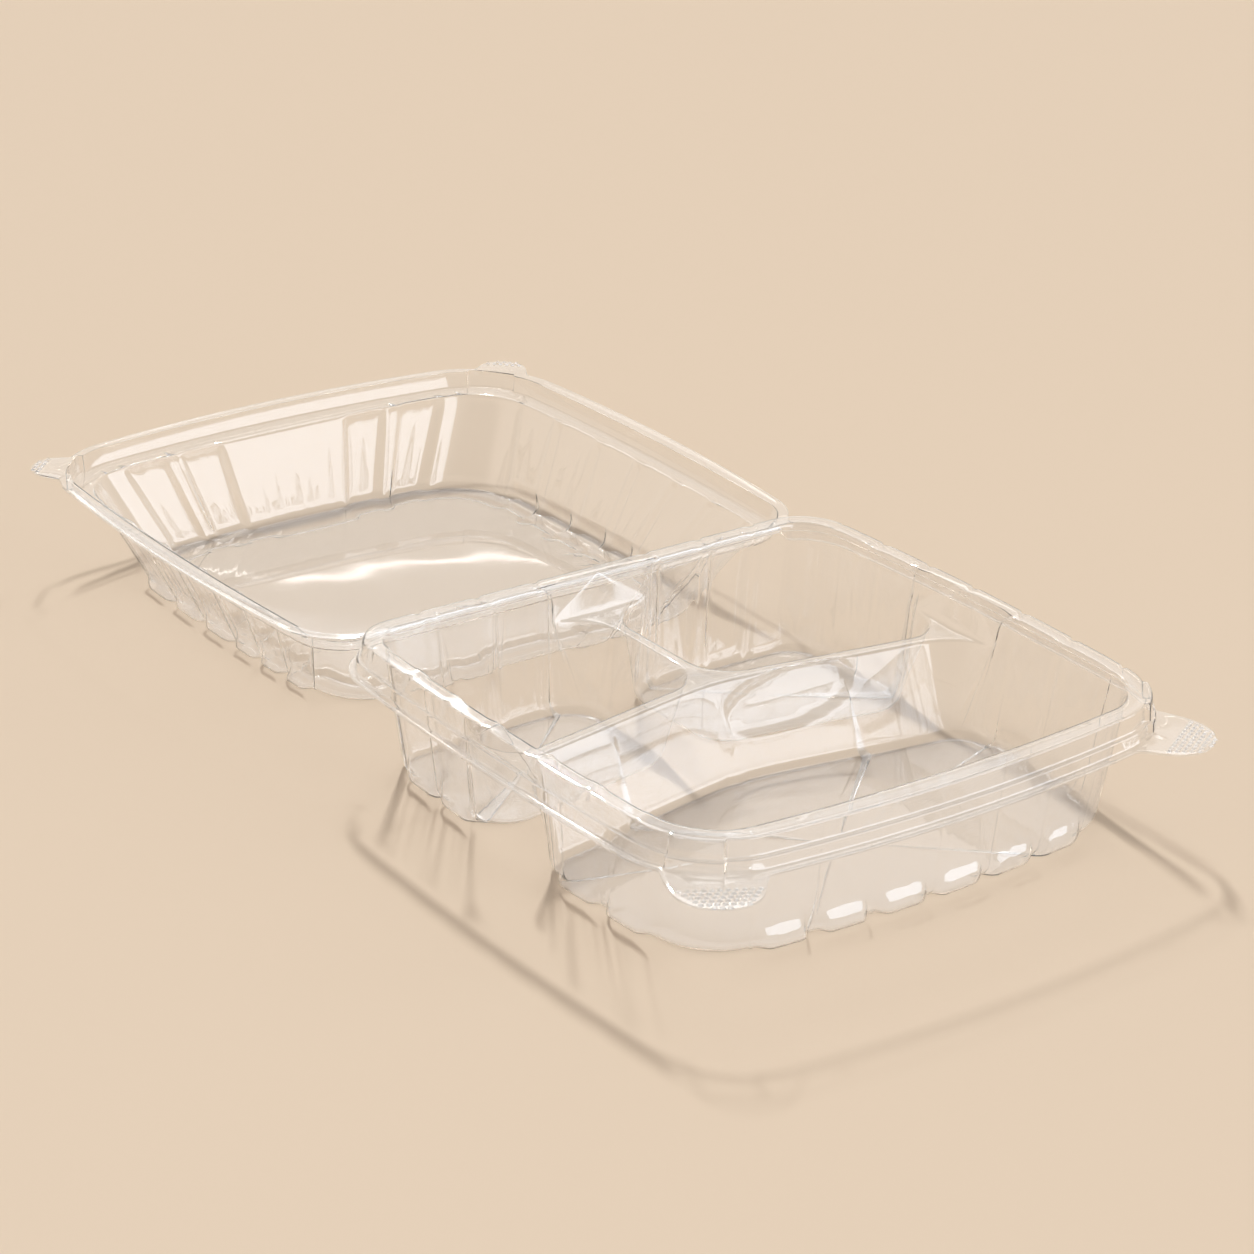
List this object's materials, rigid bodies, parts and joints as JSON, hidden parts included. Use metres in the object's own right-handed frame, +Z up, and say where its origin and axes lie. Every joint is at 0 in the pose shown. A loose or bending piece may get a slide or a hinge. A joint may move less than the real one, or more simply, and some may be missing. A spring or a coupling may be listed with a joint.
{
  "type": "plastic clamshell container",
  "caption": "Clear hinged food container with a compartmented fluted base, a dished lid and corner tabs, shown open and lying flat.",
  "frame": {"origin": "middle of the open container's footprint, on the surface that it stands on", "axes": "+X along the hinge, +Y from the base to the opened lid, +Z up"},
  "size_m": [0.2462, 0.4544, 0.0515],
  "materials": {
    "base_sheet": "clear gloss, thermoformed sheet",
    "lid_sheet": "clear gloss, thermoformed sheet"
  },
  "bodies": {
    "base": {"base": "base_sheet"},
    "lid": {"lid": "lid_sheet"}
  },
  "joints": [
    {"name": "lid_hinge", "type": "hinge", "parent": "base", "child": "lid", "pos_m": [0, 0.00395, 0.0441], "axis": [1, 0, 0], "range_deg": [0, 180]}
  ]
}
